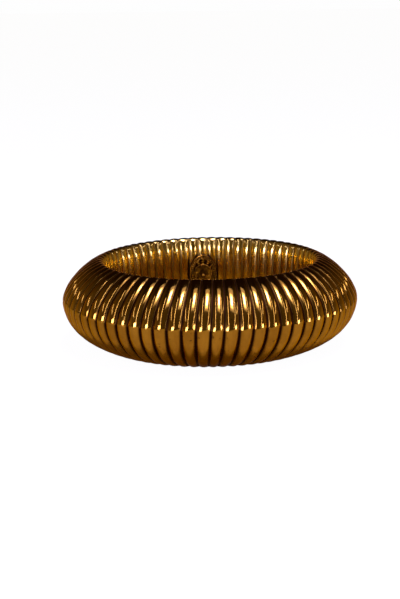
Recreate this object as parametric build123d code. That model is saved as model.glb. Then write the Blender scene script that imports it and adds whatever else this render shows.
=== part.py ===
"""Brass urli: a wide, low bowl with a hollow fluted wall, made as separate sheet-brass pieces.

Millimetres, +Z up. The origin is the centre of the plane that the bowl stands on.
Three fluted rings make the wall: a lower shell that flares from the foot to the widest line, an upper shell
that domes inward to the rim crest, and an inner wall that rolls over the crest and drops to the floor.
The ribs of the two outer shells lean a little, so they swirl slowly round the bowl as they rise.
A hoop backs the brazed joint at the widest line, and a wire stiffens the crest. The floor is a stepped round
pan: its middle lies on the lower shell's turned-in flange, and its ledge carries the inner wall, which a
solder fillet seals. An oval lotus medallion is studded to the far side of the inner wall.
Angles are measured from the front, -Y, towards +X.
"""

import os
from math import cos, hypot, pi, radians, sin

from build123d import *

# Driving dimensions of the bowl
MAX_DIAMETER = 305.0
RIB_COUNT = 68
SHEET = 1.2
EQUATOR_HEIGHT = 48.5
RIM_HEIGHT = 90.5

# Radii and heights that the profile passes through
EQUATOR_R = MAX_DIAMETER / 2
CREST_R = 113.5
INNER_FOOT_R = 103.2
FOOT_R = 98.0
FLANGE_INNER_R = 84.0

# Floor pan: a round plate whose outer part steps up to carry the inner wall.
# Its middle lies on the turned-in flange of the lower shell.
PAN_THICKNESS = 1.6
PAN_BOTTOM = SHEET
PAN_STEP = 4.4
PAN_FLAT_R = 91.0
PAN_STEP_R = 97.0
PAN_R = 107.4
FLOOR_TOP = PAN_BOTTOM + PAN_THICKNESS
LEDGE_TOP = FLOOR_TOP + PAN_STEP

# Flutes: how deep the grooves lie under the rib crests along the wall
GROOVE_AT_FOOT = 1.8
GROOVE_AT_BELLY = 3.6
GROOVE_AT_EQUATOR = 2.3
GROOVE_AT_DOME = 2.6
GROOVE_AT_SHOULDER = 1.4
GROOVE_AT_CREST = 0.6
GROOVE_AT_FLOOR = 1.6

# How far round the ribs have turned from the widest line, in degrees
TWIST_AT_FOOT = -1.3
TWIST_AT_CREST = 1.4

# Cross-section of one rib as a curve of degree 6 from groove to groove: a round crown with small fillets.
# The first list is where its control points stand across the rib, the second how high over the grooves.
RIB_ACROSS = (-1.0, -0.76, -0.76, 0.0, 0.76, 0.76, 1.0)
RIB_RISE = (0.0, 0.0, 0.92, 1.82, 0.92, 0.0, 0.0)

# Hidden stiffeners
HOOP_HEIGHT = 9.0
HOOP_THICKNESS = 0.8
HOOP_INSET = 1.3
WIRE_DIAMETER = 2.6
WIRE_GAP = 0.5

# Solder fillet that seals the floor to the inner wall
SOLDER_WIDTH = 2.6
SOLDER_HEIGHT = 2.2
SOLDER_GAP = 0.1

# Medallion. The wall behind its centre stands at its own radius and leans back a little.
MEDAL_WIDTH = 31.0
MEDAL_HEIGHT = 41.0
MEDAL_THICKNESS = 1.4
MEDAL_CENTRE_HEIGHT = 52.5
MEDAL_TURN = 180.0 + 4.0
MEDAL_WALL_R = 104.3
MEDAL_LEAN = 3.0
MEDAL_GAP = 0.15
MEDAL_BORDER_INSET = 0.5
MEDAL_BORDER_WIDTH = 1.5
MEDAL_BORDER_RISE = 0.9
MEDAL_LINE_INSET = 4.2
MEDAL_LINE_WIDTH = 0.7
MEDAL_LINE_RISE = 0.5
MEDAL_HALO_R = 9.3
MEDAL_HALO_WIDTH = 0.9
MEDAL_HALO_RISE = 0.6
MEDAL_BEAD_INSET = 3.1
MEDAL_BEAD_COUNT = 44
MEDAL_BEAD_D = 1.5
MEDAL_STUD_D = 2.0
MEDAL_STUD_SPACING = 22.0
MEDAL_STUD_REACH = 4.2
MEDAL_STUD_HEAD_D = 4.2
MEDAL_STUD_HEAD_T = 1.0

HALF_PITCH = 180.0 / RIB_COUNT

# Stations on the visible face of the wall, at the rib crests: radius, height, heading in degrees from
# outward to up, groove depth and twist. Between two stations the profile is a cubic curve, and the handles
# are the lengths of its control legs at the first station and at the second.
LOWER_STATIONS = (
    (EQUATOR_R, EQUATOR_HEIGHT, 266.0, GROOVE_AT_EQUATOR, 0.0),
    (140.43, 20.81, 226.67, GROOVE_AT_BELLY, -0.6),
    (108.7, 2.05, 199.0, GROOVE_AT_FOOT, TWIST_AT_FOOT),
    (FOOT_R, 0.0, 180.0, 0.0, TWIST_AT_FOOT),
)
LOWER_HANDLES = ((10.75, 10.64), (10.64, 14.65), (3.6, 3.6))
UPPER_STATIONS = (
    (EQUATOR_R, EQUATOR_HEIGHT, 93.0, GROOVE_AT_EQUATOR, 0.0),
    (151.75, 53.1, 104.0, GROOVE_AT_DOME, 0.15),
    (118.5, 88.7, 158.0, GROOVE_AT_SHOULDER, 1.3),
    (CREST_R, RIM_HEIGHT, 180.0, GROOVE_AT_CREST, TWIST_AT_CREST),
)
UPPER_HANDLES = ((1.5, 1.5), (13.6, 14.4), (2.0, 1.8))
INNER_STATIONS = (
    (CREST_R, RIM_HEIGHT, 180.0, GROOVE_AT_CREST, TWIST_AT_CREST),
    (110.0, 88.9, 226.0, GROOVE_AT_CREST, TWIST_AT_CREST),
    (108.2, 85.9, 253.0, GROOVE_AT_SHOULDER, TWIST_AT_CREST),
    (106.3, 77.0, 263.0, GROOVE_AT_FLOOR, TWIST_AT_CREST),
    (INNER_FOOT_R, LEDGE_TOP, 270.0, GROOVE_AT_FLOOR, TWIST_AT_CREST),
)
INNER_HANDLES = ((1.5, 1.2), (1.1, 1.1), (3.0, 3.0), (18.0, 22.0))


def at(radius, angle, height):
    """A point at a radius from the axis, an angle in degrees from the front, and a height."""
    turn = radians(angle)
    return (radius * sin(turn), -radius * cos(turn), height)


def control_points(start, end, handles):
    """The profile curve's control points between two stations, each with its groove depth and twist."""
    points = []
    for (r, z, heading, *more), other, reach in ((start, end, handles[0]), (end, start, -handles[1])):
        along = (reach * cos(radians(heading)), reach * sin(radians(heading)))
        towards = [near + (far - near) / 3 for near, far in zip(more, other[3:])]
        points.append([(r, z, *more), (r + along[0], z + along[1], *towards)])
    return [*points[0], *reversed(points[1])]


def normal(heading, side):
    """The unit normal of a heading. Side 1 is on the left of the way it runs."""
    return (-sin(radians(heading)) * side, cos(radians(heading)) * side)


def offset(points, distances, side, first=None):
    """Moves each control point off its polygon by its own distance, along the mitre of its two legs.
    Where the curve meets another piece at an angle, first is that piece's normal there."""
    legs = []
    for (r0, z0), (r1, z1) in zip(points, points[1:]):
        length = hypot(r1 - r0, z1 - z0) * side
        legs.append((-(z1 - z0) / length, (r1 - r0) / length))
    moved = []
    for (r, z), distance, before, after in zip(
        points, distances, [first or legs[0], *legs], [*legs, legs[-1]]
    ):
        share = distance / (1 + before[0] * after[0] + before[1] * after[1])
        moved.append((r + share * (before[0] + after[0]), z + share * (before[1] + after[1])))
    return moved


def rib_rows(curve, side, sink, first):
    """Control points of one rib's surface along one profile curve: a row per profile control point.
    Side points to the visible face, and sink is how far under the visible face the surface lies."""
    points = [(r, z) for r, z, _, _ in curve]
    columns = [
        offset(points, [groove * (rise - 1) - sink for _, _, groove, _ in curve], side, first)
        for rise in RIB_RISE
    ]
    return [
        [(*column[j], across * HALF_PITCH + twist) for column, across in zip(columns, RIB_ACROSS)]
        for j, (_, _, _, twist) in enumerate(curve)
    ]


def place(row, middle):
    """A row of control points set out round the axis, with the rib's middle at an angle in degrees."""
    return [at(r, middle + turn, z) for r, z, turn in row]


def flat_ring(outer_row, inner_row):
    """One flat face between two level rings of curve segments."""
    rings = [
        Wire([Edge.make_bezier(*place(row, (2 * rib + 1) * HALF_PITCH)) for rib in range(RIB_COUNT)])
        for row in (outer_row, inner_row)
    ]
    return Face(rings[0], [rings[1]])


def fluted_ring(stations, handles, side, meets=None, flange_r=None):
    """A closed ring of ribs: a visible and a hidden skin for each profile curve, and a strip at each end.
    Meets is the normal of the piece that the first edge butts against, so that both edges share one mitre.
    With flange_r, the level last station runs on as a flat flange to that radius."""
    curves = [control_points(*pair) for pair in zip(stations, stations[1:], handles)]
    firsts = [meets] + [None] * (len(curves) - 1)
    skins = [
        [rib_rows(curve, side, sink, first) for curve, first in zip(curves, firsts)]
        for sink in (0.0, SHEET)
    ]
    patches = [rows for skin in skins for rows in skin]
    starts, ends = [skin[0][0] for skin in skins], [skin[-1][-1] for skin in skins]
    faces = []
    if flange_r:
        rims = [[(flange_r, z, turn) for _, z, turn in row] for row in ends]
        faces = [flat_ring(*rows) for rows in zip(ends, rims)]
        ends = rims
    for rib in range(RIB_COUNT):
        middle = (2 * rib + 1) * HALF_PITCH
        for rows in [*patches, starts, ends]:
            faces.append(Face.make_bezier_surface([place(row, middle) for row in rows]))
    return Solid(Shell(faces))


def revolved_ring(points):
    """A plain ring from a closed outline of (radius, height) points."""
    outline = Polyline(*[(r, 0, z) for r, z in points], close=True)
    return revolve(make_face(outline), Axis.Z, 360)


def floor_pan():
    """The round floor, with its stepped-up ledge under the inner wall."""
    low, high = PAN_BOTTOM, PAN_BOTTOM + PAN_STEP
    under = [(0, low), (PAN_FLAT_R, low), (PAN_STEP_R, high), (PAN_R, high)]
    slope = PAN_THICKNESS * (PAN_STEP_R - PAN_FLAT_R) / PAN_STEP / 4
    over = [
        (PAN_R, LEDGE_TOP),
        (PAN_STEP_R - slope, LEDGE_TOP),
        (PAN_FLAT_R - slope, FLOOR_TOP),
        (0, FLOOR_TOP),
    ]
    return revolved_ring(under + over)


def seam_hoop():
    """A plain hoop behind the brazed joint at the widest line. It is inset from the grooves' backs there,
    for the shells curve in above and below."""
    outer = EQUATOR_R - GROOVE_AT_EQUATOR - SHEET - HOOP_INSET
    inner = outer - HOOP_THICKNESS
    low, high = EQUATOR_HEIGHT - HOOP_HEIGHT / 2, EQUATOR_HEIGHT + HOOP_HEIGHT / 2
    return revolved_ring([(inner, low), (outer, low), (outer, high), (inner, high)])


def rim_wire():
    """A round wire ring inside the fold of the crest."""
    centre = RIM_HEIGHT - GROOVE_AT_CREST - SHEET - WIRE_DIAMETER / 2 - WIRE_GAP
    section = Plane.XZ * Pos(CREST_R, centre) * Circle(WIRE_DIAMETER / 2)
    return revolve(section, Axis.Z, 360)


def floor_solder():
    """The solder fillet in the corner between the pan's ledge and the inner wall."""
    outer = INNER_FOOT_R - SOLDER_GAP
    corner = (outer, 0, LEDGE_TOP)
    toe = (outer - SOLDER_WIDTH, 0, LEDGE_TOP)
    top = (outer, 0, LEDGE_TOP + SOLDER_HEIGHT)
    dip = (outer - SOLDER_WIDTH * 0.36, 0, LEDGE_TOP + SOLDER_HEIGHT * 0.36)
    return revolve(
        make_face(Polyline(top, corner, toe) + ThreePointArc(toe, dip, top)), Axis.Z, 360
    )


def medal_plane():
    """The plane of the medallion's back: X across it, Y up it, Z out of its face towards the axis."""
    sag = MEDAL_WALL_R - (MEDAL_WALL_R**2 - (MEDAL_WIDTH / 2) ** 2) ** 0.5
    origin = at(MEDAL_WALL_R - sag - MEDAL_GAP, MEDAL_TURN, MEDAL_CENTRE_HEIGHT)
    turn, lean = radians(MEDAL_TURN), radians(MEDAL_LEAN)
    out = Vector(-sin(turn) * cos(lean), cos(turn) * cos(lean), sin(lean))
    return Plane(origin=origin, x_dir=Vector(-cos(turn), -sin(turn), 0), z_dir=out)


def medal_plate(plane):
    """An oval disc with a softened front edge."""
    disc = extrude(plane * Ellipse(MEDAL_WIDTH / 2, MEDAL_HEIGHT / 2), MEDAL_THICKNESS)
    front = disc.faces().sort_by(lambda face: (face.center() - plane.origin).dot(plane.z_dir))[-1]
    return fillet(front.edges(), 0.4)


def oval_band(plane, inset, width, rise):
    """A raised oval band on the medallion's face, inset from its edge."""
    rx, ry = MEDAL_WIDTH / 2 - inset, MEDAL_HEIGHT / 2 - inset
    ring = Ellipse(rx, ry) - Ellipse(rx - width, ry - width)
    return extrude(plane.offset(MEDAL_THICKNESS) * ring, rise)


def medal_border(plane):
    """The outer band and the thin inner line that frame the beads, and the lotus's round halo."""
    outer = oval_band(plane, MEDAL_BORDER_INSET, MEDAL_BORDER_WIDTH, MEDAL_BORDER_RISE)
    inner = oval_band(plane, MEDAL_LINE_INSET, MEDAL_LINE_WIDTH, MEDAL_LINE_RISE)
    half = MEDAL_HALO_WIDTH / 2
    ring = Circle(MEDAL_HALO_R + half) - Circle(MEDAL_HALO_R - half)
    halo = extrude(plane.offset(MEDAL_THICKNESS) * ring, MEDAL_HALO_RISE)
    return [*outer.solids(), *inner.solids(), *halo.solids()]


def medal_beads(plane):
    """Half-round beads evenly round the oval, between the two bands."""
    rx, ry = MEDAL_WIDTH / 2 - MEDAL_BEAD_INSET, MEDAL_HEIGHT / 2 - MEDAL_BEAD_INSET
    face = plane.offset(MEDAL_THICKNESS)
    dome = Sphere(MEDAL_BEAD_D / 2) & Pos(0, 0, MEDAL_BEAD_D) * Box(
        2 * MEDAL_BEAD_D, 2 * MEDAL_BEAD_D, 2 * MEDAL_BEAD_D
    )
    beads = []
    for i in range(MEDAL_BEAD_COUNT):
        turn = 2 * pi * i / MEDAL_BEAD_COUNT
        beads.append(face * Pos(rx * cos(turn), ry * sin(turn), 0) * dome)
    return beads


def petal(length, width, rise):
    """A pointed petal lying flat, its foot at the origin and its tip along +Y."""
    belly = length * 0.45
    right = ThreePointArc((0, 0), (width / 2, belly), (0, length))
    left = ThreePointArc((0, length), (-width / 2, belly), (0, 0))
    return extrude(make_face(right + left), rise)


def medal_lotus(plane):
    """A lotus inside the halo: an outer and an inner fan of petals, a seed head, and two leaves under it."""
    face = plane.offset(MEDAL_THICKNESS)
    centre = Pos(0, -2.6, 0)
    outer = petal(8.0, 3.4, 0.5)
    inner = petal(6.2, 2.9, 1.0)
    flower = face * centre * Cylinder(1.9, 1.4, align=(Align.CENTER, Align.CENTER, Align.MIN))
    for blade, turns in ((outer, range(-78, 79, 26)), (inner, range(-39, 40, 26))):
        for turn in turns:
            flower += face * centre * Rot(0, 0, turn) * blade
    leaf = petal(4.4, 2.3, 0.6)
    leaves = [face * Pos(0, -5.0, 0) * Rot(0, 0, turn) * leaf for turn in (-112, 112)]
    return [*flower.solids(), *leaves]


def medal_studs(plane):
    """Two studs through the inner wall, each with a peened head in the hollow behind it."""
    behind = (Align.CENTER, Align.CENTER, Align.MAX)
    shank = Cylinder(MEDAL_STUD_D / 2, MEDAL_STUD_REACH, align=behind)
    head = Cylinder(MEDAL_STUD_HEAD_D / 2, MEDAL_STUD_HEAD_T, align=behind)
    stud = shank + Pos(0, 0, -MEDAL_STUD_REACH) * head
    return [plane * Pos(0, side * MEDAL_STUD_SPACING / 2, 0) * stud for side in (-1, 1)]


def stud_holes(plane):
    """The holes that the studs pass through."""
    hole = Cylinder(MEDAL_STUD_D / 2 + 0.05, 4 * MEDAL_STUD_REACH)
    return [plane * Pos(0, side * MEDAL_STUD_SPACING / 2, 0) * hole for side in (-1, 1)]


def write(name, shape):
    """Writes one sub-part. A list of solids becomes a group."""
    if isinstance(shape, list):
        shape = Compound(children=shape)
    export_step(shape, f"parts/{name}.step")


def main():
    os.makedirs("parts", exist_ok=True)
    plane = medal_plane()
    inner_wall = fluted_ring(INNER_STATIONS, INNER_HANDLES, -1)
    for hole in stud_holes(plane):
        inner_wall -= hole
    above = normal(UPPER_STATIONS[0][2], -1)
    below = normal(LOWER_STATIONS[0][2], 1)
    write("lower_shell", fluted_ring(LOWER_STATIONS, LOWER_HANDLES, 1, above, FLANGE_INNER_R))
    write("upper_shell", fluted_ring(UPPER_STATIONS, UPPER_HANDLES, -1, below))
    write("inner_wall", inner_wall)
    write("floor_pan", floor_pan())
    write("seam_hoop", seam_hoop())
    write("rim_wire", rim_wire())
    write("floor_solder", floor_solder())
    write("medallion_plate", medal_plate(plane))
    write("medallion_border", medal_border(plane))
    write("medallion_beads", medal_beads(plane))
    write("medallion_lotus", medal_lotus(plane))
    write("medallion_studs", medal_studs(plane))


main()
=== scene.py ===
"""A brass urli bowl on a pale studio floor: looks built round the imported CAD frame.

The three fluted shells, the floor pan, its solder and the medallion are fine meshes that stand for their CAD
nodes. The hoop, the rim wire and the studs are the CAD's own, with better materials.
The bowl's own sizes are in millimetres and become metres in new_object(). The studio's are in metres.
Angles round the bowl are in degrees from the front, -Y, towards +X.
"""

from math import cos, hypot, pi, radians, sin

import bmesh
import bpy
import numpy as np
from mathutils import Matrix, Vector


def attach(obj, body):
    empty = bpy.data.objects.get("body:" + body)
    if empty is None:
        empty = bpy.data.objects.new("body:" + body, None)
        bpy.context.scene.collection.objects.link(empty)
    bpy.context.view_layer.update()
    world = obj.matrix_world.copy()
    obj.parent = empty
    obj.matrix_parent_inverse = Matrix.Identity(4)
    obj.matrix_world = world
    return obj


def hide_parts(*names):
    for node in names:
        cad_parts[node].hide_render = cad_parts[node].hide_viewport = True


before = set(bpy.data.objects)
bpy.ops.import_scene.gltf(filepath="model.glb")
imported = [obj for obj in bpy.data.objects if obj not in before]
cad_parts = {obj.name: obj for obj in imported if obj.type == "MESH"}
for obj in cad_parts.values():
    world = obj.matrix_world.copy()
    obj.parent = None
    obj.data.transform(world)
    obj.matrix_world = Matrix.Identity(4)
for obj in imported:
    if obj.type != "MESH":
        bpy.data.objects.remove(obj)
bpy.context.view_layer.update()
MM = 0.001

# Sizes that part.py holds too, in millimetres
EQUATOR_R = 152.5
EQUATOR_HEIGHT = 48.5
RIM_HEIGHT = 90.5
CREST_R = 113.5
INNER_FOOT_R = 103.2
FOOT_R = 98.0
FLANGE_INNER_R = 84.0
SHEET = 1.2
RIB_COUNT = 68
PAN_BOTTOM = SHEET
PAN_THICKNESS = 1.6
PAN_STEP = 4.4
PAN_FLAT_R = 91.0
PAN_STEP_R = 97.0
PAN_R = 107.4
FLOOR_TOP = PAN_BOTTOM + PAN_THICKNESS
LEDGE_TOP = FLOOR_TOP + PAN_STEP
GROOVE_AT_FOOT = 1.8
GROOVE_AT_BELLY = 3.6
GROOVE_AT_EQUATOR = 2.3
GROOVE_AT_DOME = 2.6
GROOVE_AT_SHOULDER = 1.4
GROOVE_AT_CREST = 0.6
GROOVE_AT_FLOOR = 1.6
TWIST_AT_FOOT = -1.3
TWIST_AT_CREST = 1.4
PITCH = 360.0 / RIB_COUNT
SOLDER_WIDTH = 2.6
SOLDER_HEIGHT = 2.2
SOLDER_GAP = 0.1
MEDAL_WIDTH = 31.0
MEDAL_HEIGHT = 41.0
MEDAL_THICKNESS = 1.4
MEDAL_CENTRE_HEIGHT = 52.5
MEDAL_TURN = 180.0 + 4.0
MEDAL_WALL_R = 104.3
MEDAL_LEAN = 3.0
MEDAL_GAP = 0.15
MEDAL_BORDER_INSET = 0.5
MEDAL_BORDER_WIDTH = 1.5
MEDAL_BORDER_RISE = 0.9
MEDAL_LINE_INSET = 4.2
MEDAL_LINE_WIDTH = 0.7
MEDAL_LINE_RISE = 0.5
MEDAL_HALO_R = 9.3
MEDAL_HALO_WIDTH = 0.9
MEDAL_HALO_RISE = 0.6
MEDAL_BEAD_INSET = 3.1
MEDAL_BEAD_COUNT = 44
MEDAL_BEAD_D = 1.5

# Cross-section of one rib, as in part.py
RIB_ACROSS = (-1.0, -0.76, -0.76, 0.0, 0.76, 0.76, 1.0)
RIB_RISE = (0.0, 0.0, 0.92, 1.82, 0.92, 0.0, 0.0)

LOWER_STATIONS = (
    (EQUATOR_R, EQUATOR_HEIGHT, 266.0, GROOVE_AT_EQUATOR, 0.0),
    (140.43, 20.81, 226.67, GROOVE_AT_BELLY, -0.6),
    (108.7, 2.05, 199.0, GROOVE_AT_FOOT, TWIST_AT_FOOT),
    (FOOT_R, 0.0, 180.0, 0.0, TWIST_AT_FOOT),
    (FLANGE_INNER_R, 0.0, 180.0, 0.0, TWIST_AT_FOOT),
)
LOWER_HANDLES = ((10.75, 10.64), (10.64, 14.65), (3.6, 3.6), (4.0, 4.0))
UPPER_STATIONS = (
    (EQUATOR_R, EQUATOR_HEIGHT, 93.0, GROOVE_AT_EQUATOR, 0.0),
    (151.75, 53.1, 104.0, GROOVE_AT_DOME, 0.15),
    (118.5, 88.7, 158.0, GROOVE_AT_SHOULDER, 1.3),
    (CREST_R, RIM_HEIGHT, 180.0, GROOVE_AT_CREST, TWIST_AT_CREST),
)
UPPER_HANDLES = ((1.5, 1.5), (13.6, 14.4), (2.0, 1.8))
INNER_STATIONS = (
    (CREST_R, RIM_HEIGHT, 180.0, GROOVE_AT_CREST, TWIST_AT_CREST),
    (110.0, 88.9, 226.0, GROOVE_AT_CREST, TWIST_AT_CREST),
    (108.2, 85.9, 253.0, GROOVE_AT_SHOULDER, TWIST_AT_CREST),
    (106.3, 77.0, 263.0, GROOVE_AT_FLOOR, TWIST_AT_CREST),
    (INNER_FOOT_R, LEDGE_TOP, 270.0, GROOVE_AT_FLOOR, TWIST_AT_CREST),
)
INNER_HANDLES = ((1.5, 1.2), (1.1, 1.1), (3.0, 3.0), (18.0, 22.0))

# Mesh fineness
STEPS_ACROSS = 18
STEP_ALONG = 1.3
STEP_ON_PAN = 0.8
SHARP_ANGLE = 50.0

# The small unevenness of handwork: degrees of wander, a share of the groove's depth, and millimetres
GROOVE_SEED = 3
GROOVE_WANDER = 0.10
DEPTH_SPREAD = 0.05
DENT = 0.02
DENT_LENGTHS = (17.0, 29.0, 43.0)
DENT_FADE = 6.0
PAN_SEED = 21
PAN_RIPPLE = 0.035
PAN_RIPPLE_PITCH = 3.1
PAN_WAVE = 0.03
PAN_WAVES_ROUND = (2, 3, 5, 7)
PAN_SINK = 0.08
SOLDER_SEED = 5
SOLDER_SHRINK = 0.86
SOLDER_WAVE = 0.04
SOLDER_WAVES_ROUND = (11, 23, 37, 61)


def bernstein(controls, t):
    """A Bezier curve through control values of any degree, at the parameters t."""
    points = [np.full_like(t, value) for value in controls]
    while len(points) > 1:
        points = [a * (1 - t) + b * t for a, b in zip(points, points[1:])]
    return points[0]


def profile(stations, handles):
    """The profile as rows of (radius, height, groove depth, twist). Each station is a radius, a height, the
    profile's direction there in degrees, a groove depth and a twist. Each stretch between two stations is a
    cubic Bezier curve, and its two handles are the distances from the stations to its inner controls."""
    rows = []
    for (r0, z0, turn0, *more0), (r1, z1, turn1, *more1), (out, back) in zip(stations, stations[1:], handles):
        controls = [
            (r0, r0 + out * cos(radians(turn0)), r1 - back * cos(radians(turn1)), r1),
            (z0, z0 + out * sin(radians(turn0)), z1 - back * sin(radians(turn1)), z1),
        ]
        controls += [(a, (2 * a + b) / 3, (a + 2 * b) / 3, b) for a, b in zip(more0, more1)]
        t = np.linspace(0, 1, max(4, round(hypot(r1 - r0, z1 - z0) / STEP_ALONG)), endpoint=False)
        rows.append(np.stack([bernstein(values, t) for values in controls], axis=1))
    r, z, _, *more = stations[-1]
    rows.append(np.array([[r, z, *more]]))
    return np.vstack(rows)


def normals(line, side):
    """Unit normals of a profile, on its left for side 1."""
    along = np.gradient(line[:, :2], axis=0)
    along /= np.linalg.norm(along, axis=1)[:, None]
    return np.stack([-along[:, 1], along[:, 0]], axis=1) * side


def new_object(name, points, faces):
    """A smooth mesh from points in millimetres, facing outwards, with its sharp corners kept."""
    mesh = bpy.data.meshes.new(name)
    mesh.from_pydata((np.asarray(points) * MM).tolist(), [], faces)
    shape = bmesh.new()
    shape.from_mesh(mesh)
    bmesh.ops.recalc_face_normals(shape, faces=shape.faces)
    shape.to_mesh(mesh)
    shape.free()
    mesh.shade_smooth()
    mesh.set_sharp_from_angle(angle=radians(SHARP_ANGLE))
    thing = bpy.data.objects.new(name, mesh)
    bpy.context.scene.collection.objects.link(thing)
    return thing


def paint(thing, name, values):
    """Stores one number per vertex for the materials to read."""
    layer = thing.data.attributes.new(name, "FLOAT", "POINT")
    layer.data.foreach_set("value", np.asarray(values, dtype=np.float32).ravel())


def grid_faces(rows, columns, close):
    """Quads of a grid that runs round in its columns. Close joins its last row to its first too, and
    without it the two end rows get a cap each."""
    i = np.arange(rows if close else rows - 1)[:, None]
    j = np.arange(columns)[None, :]
    below, right = (i + 1) % rows, (j + 1) % columns
    quads = [i * columns + j, i * columns + right, below * columns + right, below * columns + j]
    faces = np.stack(quads, axis=-1).reshape(-1, 4).tolist()
    if not close:
        faces += [list(range(columns)), list(range((rows - 1) * columns, rows * columns))]
    return faces


def grids_object(name, grids, close=False):
    """One mesh of several grids of points."""
    points, faces = [], []
    for grid in grids:
        start = len(points)
        points += grid.reshape(-1, 3).tolist()
        faces += [[start + corner for corner in face] for face in grid_faces(*grid.shape[:2], close)]
    return new_object(name, points, faces)


def round_the_axis(r, angle, z):
    """Points at radii, angles in degrees from the front, and heights."""
    turn = np.radians(angle)
    return np.stack(np.broadcast_arrays(r * np.sin(turn), -r * np.cos(turn), z), axis=-1)


def per_rib(random, spread):
    """A random amount for each groove, blended across the ribs between them."""
    amounts = random.normal(0, spread, RIB_COUNT)
    share = (bernstein(RIB_ACROSS, np.linspace(0, 1, STEPS_ACROSS, endpoint=False)) + 1) / 2
    return (amounts[:, None] * (1 - share) + np.roll(amounts, -1)[:, None] * share).ravel()


def rib_dents(along, seed):
    """Long, shallow dents of each rib's own, which fade out at the shell's two edges."""
    random = np.random.default_rng(seed)
    dents = np.zeros((len(along), RIB_COUNT))
    for length in DENT_LENGTHS:
        phase = random.uniform(0, 2 * pi, RIB_COUNT)
        depth = DENT * random.uniform(0.4, 1.0, RIB_COUNT)
        dents += depth * np.sin(2 * pi * along[:, None] / length + phase)
    return dents * np.minimum(1, np.minimum(along, along[-1] - along) / DENT_FADE)[:, None]


def fluted_shell(name, stations, handles, side, seed):
    """A closed sheet of ribs with a visible and a hidden skin. All three shells share the grooves' wander
    and depths, so that their edges meet."""
    line = profile(stations, handles)
    out = normals(line, side)
    t = np.linspace(0, 1, STEPS_ACROSS, endpoint=False)
    across, rise = bernstein(RIB_ACROSS, t), bernstein(RIB_RISE, t)
    along = np.concatenate([[0], np.cumsum(np.hypot(*np.diff(line[:, :2], axis=0).T))])

    random = np.random.default_rng(GROOVE_SEED)
    angle = ((np.arange(RIB_COUNT)[:, None] + (across + 1) / 2) * PITCH).ravel()
    angle = angle + per_rib(random, GROOVE_WANDER)
    depth = 1 + per_rib(random, DEPTH_SPREAD)

    rise = np.tile(rise, RIB_COUNT)
    dents = np.repeat(rib_dents(along, seed), STEPS_ACROSS, axis=1) * rise

    # The hidden skin runs back along the profile, with every other row
    skins = []
    for sink, rows in ((0.0, slice(None)), (SHEET, slice(None, None, -2))):
        drop = (line[:, 2, None] * (1 - rise) * depth + dents + sink)[rows]
        r = line[rows, 0, None] - out[rows, 0, None] * drop
        z = line[rows, 1, None] - out[rows, 1, None] * drop
        skins.append(round_the_axis(r, angle + line[rows, 3, None], z))
    grid = np.concatenate(skins)
    thing = grids_object(name, [grid], close=True)
    # The hidden skin gets the grooves' full value, so tarnish and painted shade darken all of it inside the
    # hollow.
    hidden = np.ones(skins[1].shape[:2])
    groove = np.broadcast_to(1 - rise, skins[0].shape[:2])
    paint(thing, "groove", np.concatenate([groove, hidden]))
    return thing


def spun_floor():
    """The floor pan, with the faint rings and waves that spinning and hammering leave in it."""
    random = np.random.default_rng(PAN_SEED)
    middle_r, inset = 0.6, 0.6
    ledge_bottom = LEDGE_TOP - PAN_THICKNESS
    outline = [
        (middle_r, FLOOR_TOP), (PAN_FLAT_R - inset, FLOOR_TOP), (PAN_STEP_R - inset, LEDGE_TOP),
        (PAN_R, LEDGE_TOP), (PAN_R, ledge_bottom), (PAN_STEP_R, ledge_bottom),
        (PAN_FLAT_R, PAN_BOTTOM), (middle_r, PAN_BOTTOM),
    ]
    rows = []
    for (r0, z0), (r1, z1) in zip(outline, outline[1:]):
        steps = max(2, round(hypot(r1 - r0, z1 - z0) / STEP_ON_PAN))
        for share in np.linspace(0, 1, steps, endpoint=False):
            rows.append((r0 + (r1 - r0) * share, z0 + (z1 - z0) * share))
    r, z = (column[:, None] for column in np.array([*rows, outline[-1]]).T)
    angle = np.linspace(0, 360, 240, endpoint=False)
    open_floor = (z == FLOOR_TOP) * np.clip((PAN_FLAT_R - 2 - r) / 4, 0, 1)
    waves = PAN_RIPPLE * np.sin(2 * pi * r / PAN_RIPPLE_PITCH)
    for turns in PAN_WAVES_ROUND:
        phase, length = random.uniform(0, 6), random.uniform(14, 30)
        waves = waves + PAN_WAVE * np.sin(np.radians(turns * angle) + phase + r / length)
    return grids_object("spun_floor", [round_the_axis(r, angle, z + open_floor * (waves - PAN_SINK))])


def solder_fillet():
    """The solder in the corner between the ledge and the wall, wavy along its toe as it froze."""
    random = np.random.default_rng(SOLDER_SEED)
    angle = np.linspace(0, 360, 480, endpoint=False)
    size = SOLDER_SHRINK
    for turns in SOLDER_WAVES_ROUND:
        height, phase = random.uniform(0.3, 1), random.uniform(0, 6)
        size = size + SOLDER_WAVE * height * np.sin(np.radians(turns * angle) + phase)
    corner = INNER_FOOT_R - SOLDER_GAP
    across = np.array([0.0, 1.0, 0.72, 0.48, 0.28, 0.12, 0.0])[:, None]
    up = np.array([0.0, 0.0, 0.12, 0.28, 0.48, 0.72, 1.0])[:, None]
    r = corner - SOLDER_WIDTH * across * size
    grid = round_the_axis(r, angle, LEDGE_TOP + SOLDER_HEIGHT * up * size)
    return grids_object("solder_fillet", [grid], close=True)


# The medallion, in its own plane: X across it, Y up it, and Z out of its face towards the bowl's axis


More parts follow.
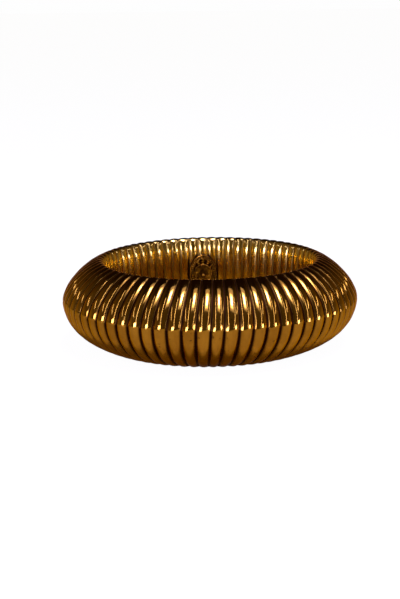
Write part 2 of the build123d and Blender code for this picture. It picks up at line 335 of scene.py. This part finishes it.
def on_medallion(x, y, z):
    """Points on the medallion's plane, in the bowl's frame."""
    sag = MEDAL_WALL_R - (MEDAL_WALL_R**2 - (MEDAL_WIDTH / 2) ** 2) ** 0.5
    origin = round_the_axis(MEDAL_WALL_R - sag - MEDAL_GAP, MEDAL_TURN, MEDAL_CENTRE_HEIGHT)
    turn, lean = radians(MEDAL_TURN), radians(MEDAL_LEAN)
    across = np.array([-cos(turn), -sin(turn), 0.0])
    out = np.array([-sin(turn) * cos(lean), cos(turn) * cos(lean), sin(lean)])
    x, y, z = (value[..., None] for value in np.broadcast_arrays(x, y, z))
    return origin + x * across + y * np.cross(out, across) + z * out


def oval(turn, inset):
    """Points of the medallion's oval at an inset from its edge, and its outward direction there."""
    rx, ry = MEDAL_WIDTH / 2 - inset, MEDAL_HEIGHT / 2 - inset
    out = np.stack([ry * np.cos(turn), rx * np.sin(turn)])
    return rx * np.cos(turn), ry * np.sin(turn), out / np.hypot(*out)


def relief(x, y):
    """Height of the pattern cast in the plate's face: rays inside the halo, scrolls outside it, and a fine
    stipple. Each fades out over a short way, and all of them at the border's inner line."""
    r, turn = np.hypot(x, y), np.arctan2(x, y)
    fade = 0.6
    inside = np.clip((MEDAL_HALO_R - 0.3 - r) / fade, 0, 1) * np.clip((r - 2.0) / 2, 0, 1)
    outside = np.clip((r - MEDAL_HALO_R - 0.3) / fade, 0, 1)
    rays = 0.30 * (0.5 + 0.5 * np.cos(30 * turn)) ** 0.7
    scrolls = 0.34 * (0.5 + 0.5 * np.cos(2 * pi * r / 2.1 + 6 * turn)) * (0.6 + 0.4 * np.cos(14 * turn))
    stipple = 0.07 * np.sin(2 * pi * x / 0.9) * np.sin(2 * pi * y / 0.9)
    rx, ry = MEDAL_WIDTH / 2 - MEDAL_LINE_INSET, MEDAL_HEIGHT / 2 - MEDAL_LINE_INSET
    within_line = np.clip((0.97 - np.hypot(x / rx, y / ry)) / 0.05, 0, 1)
    return (inside * rays + outside * scrolls + stipple) * within_line


def medal_plate():
    """The oval plate with its relief, its rounded front edge and its flat back."""
    turn = np.linspace(0, 2 * pi, 420, endpoint=False)
    share = np.linspace(0.02, 1, 72)[:, None]
    edge, full_height = 0.4, 0.35
    x = share * (MEDAL_WIDTH / 2 - edge) * np.cos(turn)
    y = share * (MEDAL_HEIGHT / 2 - edge) * np.sin(turn)
    face = relief(x, y)
    rows, heights = [on_medallion(x, y, MEDAL_THICKNESS + face)], [face / full_height]
    bend = np.radians([22.5, 45, 67.5, 90])[:, None]
    for inset, height in ((edge * (1 - np.sin(bend)), edge * (np.cos(bend) - 1)), (0.0, -MEDAL_THICKNESS)):
        px, py, _ = oval(turn, np.broadcast_to(inset, (np.size(inset), 1)))
        rows.append(on_medallion(px, py, MEDAL_THICKNESS + height))
        heights.append(np.full(px.shape, 0.3))
    plate = grids_object("relief_plate", [np.concatenate(rows)])
    paint(plate, "relief", np.concatenate(heights))
    return plate


def oval_cord(inset, half_width, rise, strands, twists):
    """A raised cord round the oval, whose strands make the given number of twists. Returns its points and
    their share of its height."""
    turn = np.linspace(0, 2 * pi, 900, endpoint=False)
    section = np.linspace(0, 2 * pi, 14, endpoint=False)[:, None]
    x, y, out = oval(turn, inset + half_width)
    swell = 0.86 + 0.14 * np.cos(strands * section + twists * turn)
    side = half_width * swell * np.cos(section)
    height = np.maximum(rise * swell * np.sin(section), 0)
    points = on_medallion(x + side * out[0], y + side * out[1], MEDAL_THICKNESS + height)
    return points, height / rise


def medal_border():
    """The twisted outer cord, the fine inner line, and the round halo of small petals."""
    outer = oval_cord(MEDAL_BORDER_INSET, MEDAL_BORDER_WIDTH / 2, MEDAL_BORDER_RISE, 3, 72)
    inner = oval_cord(MEDAL_LINE_INSET, MEDAL_LINE_WIDTH / 2, MEDAL_LINE_RISE, 1, 120)
    turn = np.linspace(0, 2 * pi, 720, endpoint=False)
    section = np.linspace(0, 2 * pi, 10, endpoint=False)[:, None]
    petals = 0.65 + 0.35 * np.abs(np.cos(18 * turn)) ** 0.6
    r = MEDAL_HALO_R + MEDAL_HALO_WIDTH / 2 * petals * np.cos(section)
    height = np.maximum(MEDAL_HALO_RISE * petals * np.sin(section), 0)
    halo = on_medallion(r * np.sin(turn), r * np.cos(turn), MEDAL_THICKNESS + height)
    border = grids_object("twisted_border", [outer[0], inner[0], halo], close=True)
    heights = (outer[1], inner[1], height / MEDAL_HALO_RISE)
    paint(border, "relief", np.concatenate([part.ravel() for part in heights]))
    return border


def medal_beads():
    """Half-round beads between the border's cord and line."""
    tilt = np.radians(np.linspace(4, 90, 7))[:, None]
    around = np.linspace(0, 2 * pi, 14, endpoint=False)
    r, height = MEDAL_BEAD_D / 2 * np.sin(tilt), MEDAL_BEAD_D / 2 * np.cos(tilt)
    beads = []
    for turn in 2 * pi * np.arange(MEDAL_BEAD_COUNT) / MEDAL_BEAD_COUNT:
        x, y, _ = oval(turn, MEDAL_BEAD_INSET)
        bead = on_medallion(x + r * np.cos(around), y + r * np.sin(around), MEDAL_THICKNESS + height)
        beads.append(bead)
    row = grids_object("bead_row", beads)
    shares = np.broadcast_to(np.cos(tilt), (len(tilt), len(around)))
    paint(row, "relief", np.tile(shares.ravel(), MEDAL_BEAD_COUNT))
    return row


def petal(foot, turn, length, width, rise, lift):
    """A cupped petal with a raised midrib. Returns its points and their share of its height."""
    u = np.linspace(0.02, 0.98, 22)[:, None]
    v = np.concatenate([np.linspace(-1, 1, 13), np.linspace(1, -1, 7)[1:-1]])
    top = np.arange(18) < 13
    swell = np.sin(pi * u**0.85) ** 0.75
    across = v * width / 2 * swell
    cup = (0.35 + 0.45 * v**2) * (1 - v**8) + 0.45 * np.exp(-((v / 0.16) ** 2))
    height = np.where(top, rise * swell * cup + lift * u**2, 0.0)
    along = length * u
    spin = radians(turn)
    x = foot[0] + across * cos(spin) + along * sin(spin)
    y = foot[1] - across * sin(spin) + along * cos(spin)
    return on_medallion(x, y, MEDAL_THICKNESS + height), height / (rise + lift)


def seed_head(centre):
    """A low dome with a seed in its middle and six round it. Returns its points and their share of its
    height."""
    head_r, head_rise, seed_rise, seed_spread = 1.9, 1.15, 0.2, 0.09
    share = np.linspace(0.04, 1, 12)[:, None]
    around = np.linspace(0, 2 * pi, 42, endpoint=False)
    x, y = head_r * share * np.cos(around), head_r * share * np.sin(around)
    places = [(0, 0)] + [(1.05 * cos(k * pi / 3), 1.05 * sin(k * pi / 3)) for k in range(6)]
    seeds = sum(np.exp(-((x - px) ** 2 + (y - py) ** 2) / seed_spread) for px, py in places)
    height = head_rise * (1 - share**6) + seed_rise * seeds
    points = on_medallion(x + centre[0], y + centre[1], MEDAL_THICKNESS + height)
    return points, height / (head_rise + seed_rise)


def medal_lotus():
    """A lotus: two fans of petals, two leaves below them, and a seed head."""
    centre, leaf_foot = (0.0, -2.6), (0.0, -5.0)
    parts = [petal(centre, turn, 8.0, 3.4, 0.5, 0.25) for turn in range(-78, 79, 26)]
    parts += [petal(centre, turn, 6.2, 2.9, 0.8, 0.35) for turn in (-39, -13, 13, 39)]
    parts += [petal(leaf_foot, turn, 4.4, 2.3, 0.5, 0.1) for turn in (-112, 112)]
    parts.append(seed_head(centre))
    lotus = grids_object("lotus", [points for points, _ in parts])
    paint(lotus, "relief", np.concatenate([heights.ravel() for _, heights in parts]))
    return lotus


# Node materials


class Nodes:
    """Short ways to add and join the nodes of one material or world."""

    def __init__(self, owner, coordinates):
        owner.use_nodes = True
        self.tree = owner.node_tree
        self.place = self.add("TexCoord").outputs[coordinates]

    def add(self, kind, **settings):
        """Adds a shader node and sets its properties."""
        node = self.tree.nodes.new("ShaderNode" + kind)
        for key, value in settings.items():
            setattr(node, key, value)
        return node

    def join(self, source, output, target, socket):
        """Links a node's output to another node's input, both by name."""
        self.tree.links.new(source.outputs[output], target.inputs[socket])

    def noise(self, scale, detail=4.0, roughness=0.6, stretch=None):
        """A noise's Fac output socket. Stretch scales the three axes first."""
        node = self.add("TexNoise")
        node.inputs["Scale"].default_value = scale
        node.inputs["Detail"].default_value = detail
        node.inputs["Roughness"].default_value = roughness
        if stretch is None:
            self.tree.links.new(self.place, node.inputs["Vector"])
        else:
            mapping = self.add("Mapping")
            mapping.inputs["Scale"].default_value = stretch
            self.tree.links.new(self.place, mapping.inputs["Vector"])
            self.join(mapping, "Vector", node, "Vector")
        return node.outputs["Fac"]

    def ramp(self, value, low, high, to_low=0.0, to_high=1.0):
        """A value mapped smoothly from one range to another."""
        node = self.add("MapRange", interpolation_type="SMOOTHSTEP")
        sockets = ("From Min", "From Max", "To Min", "To Max")
        for socket, number in zip(sockets, (low, high, to_low, to_high)):
            node.inputs[socket].default_value = number
        self.tree.links.new(value, node.inputs["Value"])
        return node.outputs["Result"]

    def math(self, operation, a, b):
        """A sum, product or the like of two values, each a number or a socket."""
        node = self.add("Math", operation=operation)
        for socket, value in zip(node.inputs, (a, b)):
            if isinstance(value, (int, float)):
                socket.default_value = value
            else:
                self.tree.links.new(value, socket)
        return node.outputs["Value"]

    def mix(self, share, a, b):
        """A colour between two colours, each a triple or a socket."""
        node = self.add("Mix", data_type="RGBA")
        self.tree.links.new(share, node.inputs["Factor"])
        for socket, value in ((node.inputs[6], a), (node.inputs[7], b)):
            if isinstance(value, tuple):
                socket.default_value = (*value, 1)
            else:
                self.tree.links.new(value, socket)
        return node.outputs[2]

    def rings(self, scale):
        """A noise that changes only with the distance from the bowl's axis, like the marks of spinning."""
        flat = self.add("VectorMath", operation="MULTIPLY")
        self.tree.links.new(self.place, flat.inputs[0])
        flat.inputs[1].default_value = (1, 1, 0)
        length = self.add("VectorMath", operation="LENGTH")
        self.join(flat, "Vector", length, "Vector")
        node = self.add("TexNoise", noise_dimensions="1D")
        node.inputs["Scale"].default_value = scale
        node.inputs["Detail"].default_value = 6.0
        self.join(length, "Value", node, "W")
        return node.outputs["Fac"]

    def attribute(self, name):
        """A number that paint() stored on the mesh."""
        return self.add("Attribute", attribute_name=name).outputs["Fac"]


class Surface(Nodes):
    """The nodes of one material, round a Principled surface."""

    def __init__(self, name, **values):
        self.material = bpy.data.materials.new(name)
        super().__init__(self.material, "Object")
        self.shader = self.tree.nodes["Principled BSDF"]
        for socket, value in values.items():
            self.shader.inputs[socket.replace("_", " ").title()].default_value = value

    def feed(self, socket, value):
        """Links an output socket to one of the shader's inputs."""
        self.tree.links.new(value, self.shader.inputs[socket])

    def bump(self, *layers):
        """Stacks (height socket, distance in metres) layers onto the surface's normal."""
        last = None
        for height, distance in layers:
            node = self.add("Bump")
            node.inputs["Strength"].default_value = 1.0
            node.inputs["Distance"].default_value = distance
            self.tree.links.new(height, node.inputs["Height"])
            if last:
                self.join(last, "Normal", node, "Normal")
            last = node
        self.feed("Normal", last.outputs["Normal"])


def brass(name, bright, warm, deep, gloss, tarnish_and_shade_reach):
    """Polished brass: an uneven tone between bright and warm, and a dark colour in the grooves that is partly
    tarnish and partly painted shade of their narrow crevices. Also rubbing marks along the ribs, and a few
    tarnish spots. Gloss is the roughness of the cleanest and of the dullest places. The last argument gives
    how far into the groove the dark colour starts, and how much of it there is."""
    nodes = Surface(name, metallic=1.0, specular_tint=(1.0, 0.68, 0.36, 1.0))
    cloud = nodes.noise(28.0, 5.0, 0.65)
    streak = nodes.noise(170.0, 4.0, 0.6, stretch=(1.0, 1.0, 0.12))
    spots = nodes.ramp(nodes.noise(210.0, 2.0, 0.5), 0.67, 0.73)
    tone = nodes.mix(nodes.ramp(cloud, 0.35, 0.68), bright, warm)
    tone = nodes.mix(nodes.ramp(streak, 0.40, 0.70, 0.0, 0.55), tone, warm)
    tone = nodes.mix(nodes.math("MULTIPLY", spots, 0.55), tone, deep)
    # Painted shade and tarnish: the colour darkens towards the bottom of each groove, and stands partly for
    # the shade of its narrow crevice.
    groove_tarnish_and_shade = nodes.ramp(nodes.attribute("groove"), tarnish_and_shade_reach[0], 1.0, 0.0, tarnish_and_shade_reach[1])
    nodes.feed("Base Color", nodes.mix(groove_tarnish_and_shade, tone, deep))
    dull = nodes.ramp(nodes.noise(75.0, 6.0, 0.7), 0.3, 0.75, gloss[0], gloss[1])
    nodes.feed("Roughness", nodes.math("MAXIMUM", dull, nodes.math("MULTIPLY", groove_tarnish_and_shade, 0.4)))
    nodes.bump((streak, 0.000015), (nodes.noise(320.0, 3.0), 0.000002))
    return nodes.material


BELLY = brass(
    "belly_brass",
    bright=(0.55, 0.300, 0.018),
    warm=(0.38, 0.190, 0.010),
    deep=(0.016, 0.004, 0.001),
    gloss=(0.10, 0.20),
    tarnish_and_shade_reach=(0.38, 1.1),
)
OUTER = brass(
    "outer_brass",
    bright=(0.55, 0.310, 0.018),
    warm=(0.44, 0.230, 0.011),
    deep=(0.024, 0.007, 0.001),
    gloss=(0.08, 0.14),
    tarnish_and_shade_reach=(0.40, 1.0),
)
# Painted light: the inner wall's brass is much brighter and paler than the outer shells'. This stands in for
# light that the bowl's inside loses between its many reflections.
INNER = brass(
    "inner_brass",
    bright=(0.85, 0.610, 0.062),
    warm=(0.76, 0.530, 0.046),
    deep=(0.16, 0.085, 0.005),
    gloss=(0.12, 0.21),
    tarnish_and_shade_reach=(0.45, 0.9),
)


def spun_brass():
    """The pan's brass: rings from spinning, water stains and fine scratches."""
    nodes = Surface("spun_brass", metallic=1.0)
    rings = nodes.rings(900.0)
    stain = nodes.ramp(nodes.noise(22.0, 6.0, 0.7), 0.48, 0.66)
    light, dark, stained = (0.84, 0.68, 0.060), (0.74, 0.58, 0.045), (0.26, 0.17, 0.012)
    tone = nodes.mix(nodes.ramp(rings, 0.3, 0.7), light, dark)
    nodes.feed("Base Color", nodes.mix(nodes.math("MULTIPLY", stain, 0.6), tone, stained))
    nodes.feed("Roughness", nodes.ramp(nodes.noise(60.0, 6.0, 0.7), 0.3, 0.75, 0.45, 0.66))
    nodes.bump((rings, 0.00006), (nodes.noise(260.0, 3.0), 0.00001))
    return nodes.material


def raw_brass():
    """Unpolished brass inside the hollow wall: drawn marks, brown scale and finger stains."""
    nodes = Surface("raw_brass", metallic=1.0)
    drawn = nodes.noise(420.0, 4.0, 0.6, stretch=(0.2, 0.2, 1.0))
    scale = nodes.ramp(nodes.noise(45.0, 6.0, 0.7), 0.42, 0.66)
    light, dark, scaled = (0.52, 0.34, 0.11), (0.40, 0.24, 0.07), (0.13, 0.07, 0.03)
    tone = nodes.mix(nodes.ramp(drawn, 0.3, 0.7), light, dark)
    nodes.feed("Base Color", nodes.mix(nodes.math("MULTIPLY", scale, 0.7), tone, scaled))
    nodes.feed("Roughness", nodes.ramp(scale, 0.0, 1.0, 0.36, 0.62))
    nodes.bump((drawn, 0.00003), (scale, 0.00002))
    return nodes.material


def relief_brass():
    """The medallion's brass: dark in the hollows and bright on the high points. This is partly tarnish and
    rubbing wear, partly painted shade in the hollows and painted highlights on the high points.
    """
    nodes = Surface("relief_brass", metallic=1.0, specular_tint=(0.50, 0.26, 0.03, 1.0))
    high = nodes.attribute("relief")
    wear_and_light = nodes.math("ADD", high, nodes.ramp(nodes.noise(160.0, 5.0, 0.7), 0.3, 0.7, -0.22, 0.22))
    # Painted shade and painted highlight, with real tarnish and wear: darker the lower the relief, brighter
    # on its highest points.
    recess, ground, bright_wear_and_highlight = (0.014, 0.006, 0.0005), (0.075, 0.036, 0.002), (0.80, 0.42, 0.020)
    tone = nodes.mix(nodes.ramp(wear_and_light, 0.10, 0.60), recess, ground)
    nodes.feed("Base Color", nodes.mix(nodes.ramp(wear_and_light, 0.60, 1.00), tone, bright_wear_and_highlight))
    nodes.feed("Roughness", nodes.ramp(wear_and_light, 0.1, 0.95, 0.50, 0.20))
    nodes.bump((nodes.noise(700.0, 3.0), 0.00002))
    return nodes.material


def soft_solder():
    """Tin solder: grey, dull where it has oxidised, with the skin it froze with."""
    nodes = Surface("soft_solder", metallic=1.0)
    skin = nodes.noise(130.0, 5.0, 0.65)
    clean, oxidised = (0.50, 0.53, 0.12), (0.30, 0.31, 0.07)
    nodes.feed("Base Color", nodes.mix(nodes.ramp(skin, 0.35, 0.65), clean, oxidised))
    nodes.feed("Roughness", nodes.ramp(skin, 0.3, 0.7, 0.30, 0.58))
    nodes.bump((skin, 0.00012), (nodes.noise(500.0, 2.0), 0.00002))
    return nodes.material


def dress(piece, material, slot, *nodes):
    """Gives a piece its material, hangs it on the root body, and hides the CAD nodes that it stands for."""
    piece.data.materials.clear()
    piece.data.materials.append(material)
    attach(piece, "root")
    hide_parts(*nodes)


for name, stations, handles, side, material, seed in (
    ("lower_shell", LOWER_STATIONS, LOWER_HANDLES, 1, BELLY, 3),
    ("upper_shell", UPPER_STATIONS, UPPER_HANDLES, -1, OUTER, 5),
    ("inner_wall", INNER_STATIONS, INNER_HANDLES, -1, INNER, 8),
):
    shell = fluted_shell("fluted_" + name, stations, handles, side, seed)
    dress(shell, material, "antiqued_brass", name)

dress(spun_floor(), spun_brass(), "antiqued_brass", "floor_pan")
dress(solder_fillet(), soft_solder(), "soft_solder", "floor_solder")
RELIEF = relief_brass()
dress(medal_plate(), RELIEF, "dark_brass", "medallion_plate")
dress(medal_border(), RELIEF, "dark_brass", "medallion_border")
dress(medal_beads(), RELIEF, "dark_brass", "medallion_beads")
dress(medal_lotus(), RELIEF, "dark_brass", "medallion_lotus")

# The hidden hoop, wire and studs stay as the CAD has them
RAW = raw_brass()
for node in ("seam_hoop", "rim_wire", "medallion_studs"):
    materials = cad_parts[node].data.materials
    materials.clear()
    materials.append(RAW)

# Studio. The softboxes are tinted blue, so that their reflections are near white on a deep gold metal. The
# metals' own colours, and what the brass sees of the floor and the world, are set to suit that light
BOWL_MIDDLE = Vector((0, 0, EQUATOR_HEIGHT * MM))
LIGHT_TINT = (0.25, 0.225, 1.0)
FLOOR_Z = -0.0001  # a hair below the bowl, so that the two do not flicker
FLOOR_HALF = 12.0


def studio_floor():
    """A wide pale floor. The brass sees it darker and warmer than the camera does."""
    signs = ((-1, -1), (1, -1), (1, 1), (-1, 1))
    corners = [(x * FLOOR_HALF, y * FLOOR_HALF, FLOOR_Z) for x, y in signs]
    floor = new_object("studio_floor", np.array(corners) / MM, [(0, 1, 2, 3)])
    nodes = Surface("pale_floor", roughness=0.95)
    seen = nodes.add("LightPath").outputs["Is Camera Ray"]
    in_brass, glow_in_brass = (0.57, 0.475, 0.155), (0.03, 0.022, 0.025)
    to_camera, glow_to_camera = (0.08, 0.089, 0.02), (0.97, 0.97, 0.97)
    nodes.feed("Base Color", nodes.mix(seen, in_brass, to_camera))
    nodes.feed("Emission Color", nodes.mix(seen, glow_in_brass, glow_to_camera))
    nodes.shader.inputs["Emission Strength"].default_value = 1.0
    floor.data.materials.append(nodes.material)


studio_floor()


def panel(name, place, size, brightness):
    """A rectangular softbox that faces the bowl, with its width level. Its brightness is of its red light,
    and doesn't change with its size."""
    light = bpy.data.lights.new(name, "AREA")
    light.shape = "RECTANGLE"
    light.size, light.size_y = size
    light.energy = brightness / LIGHT_TINT[0] * size[0] * size[1]
    light.color = LIGHT_TINT
    thing = bpy.data.objects.new(name, light)
    bpy.context.scene.collection.objects.link(thing)
    thing.location = place
    back = (place - BOWL_MIDDLE).normalized()
    side = (Vector((1, 0, 0)) - back * back.x).normalized()
    thing.rotation_euler = Matrix((side, back.cross(side), back)).transposed().to_euler()
    thing.visible_camera = False


def towards(sideways, turn, distance):
    """A place at a distance from the bowl. Sideways is its direction's share along X, and turn is the angle
    in degrees from the front over the top to the back."""
    rest = (1 - sideways**2) ** 0.5
    direction = Vector((sideways, -cos(radians(turn)) * rest, sin(radians(turn)) * rest))
    return BOWL_MIDDLE + distance * direction


panel("overhead", towards(0.17, 73, 2.0), (0.44, 0.50), 75.0)
panel("overhead_rim", towards(0.17, 73, 2.1), (0.84, 0.90), 10.0)
panel("overhead_halo", towards(0.17, 76, 2.2), (1.30, 1.60), 2.8)
panel("window_left", towards(-0.58, 7, 2.0), (0.80, 0.42), 36.0)
panel("window_right", towards(0.80, 4, 2.0), (0.60, 0.42), 34.0)
panel("strip_left", towards(-0.46, 44, 1.6), (0.060, 2.2), 20.0)
panel("strip_right", towards(0.62, 46, 1.6), (0.060, 2.2), 18.0)
panel("wall_left", towards(-0.88, 85, 1.4), (0.04, 0.9), 16.0)
panel("wall_right", towards(0.86, 95, 1.4), (0.04, 0.9), 18.0)


def studio_world():
    """White to the camera. To the brass it is a dim room, dark behind the bowl, lighter in front and at the
    sides, with a pale sweep low at the sides and back."""
    world = bpy.data.worlds.new("studio")
    bpy.context.scene.world = world
    nodes = Nodes(world, "Generated")
    split = nodes.add("SeparateXYZ")
    nodes.tree.links.new(nodes.place, split.inputs["Vector"])
    behind, in_front, beside = (0.012, 0.005, 0.004), (0.095, 0.067, 0.07), (0.13, 0.086, 0.09)
    pale, white = (0.30, 0.195, 0.20), (0.99, 0.99, 0.99)
    low = nodes.ramp(split.outputs["Z"], 0.40, 0.02)
    sweep = nodes.math("MULTIPLY", low, nodes.ramp(split.outputs["Y"], -0.45, 0.25))
    room = nodes.mix(nodes.ramp(split.outputs["Y"], 0.15, -0.45), behind, in_front)
    sideways = nodes.math("MULTIPLY", split.outputs["X"], split.outputs["X"])
    room = nodes.mix(nodes.ramp(sideways, 0.10, 0.70), room, beside)
    room = nodes.mix(sweep, room, pale)
    seen = nodes.add("LightPath").outputs["Is Camera Ray"]
    background = nodes.tree.nodes["Background"]
    nodes.tree.links.new(nodes.mix(seen, room, white), background.inputs["Color"])


studio_world()

# Camera, at ten times the bowl's radius
CAMERA_DISTANCE = 10 * EQUATOR_R * MM
CAMERA_ELEVATION = 12.63
CAMERA_ROLL = 0.81
CAMERA_LENS = 88.2
CAMERA_SHIFT = (-0.0165, -0.0053)


def place_camera():
    """Looks at the middle of the bowl from the front, a little from above and a little askew."""
    data = bpy.data.cameras.new("camera")
    camera = bpy.data.objects.new("camera", data)
    bpy.context.scene.collection.objects.link(camera)
    bpy.context.scene.camera = camera
    data.sensor_fit = "VERTICAL"
    data.sensor_height = 36.0
    data.lens = CAMERA_LENS
    data.shift_x, data.shift_y = CAMERA_SHIFT
    camera.location = towards(0, CAMERA_ELEVATION, CAMERA_DISTANCE)
    look = (BOWL_MIDDLE - camera.location).to_track_quat("-Z", "Y").to_matrix()
    camera.rotation_euler = (look @ Matrix.Rotation(radians(-CAMERA_ROLL), 3, "Z")).to_euler()


place_camera()
bpy.context.scene.view_settings.view_transform = "Standard"
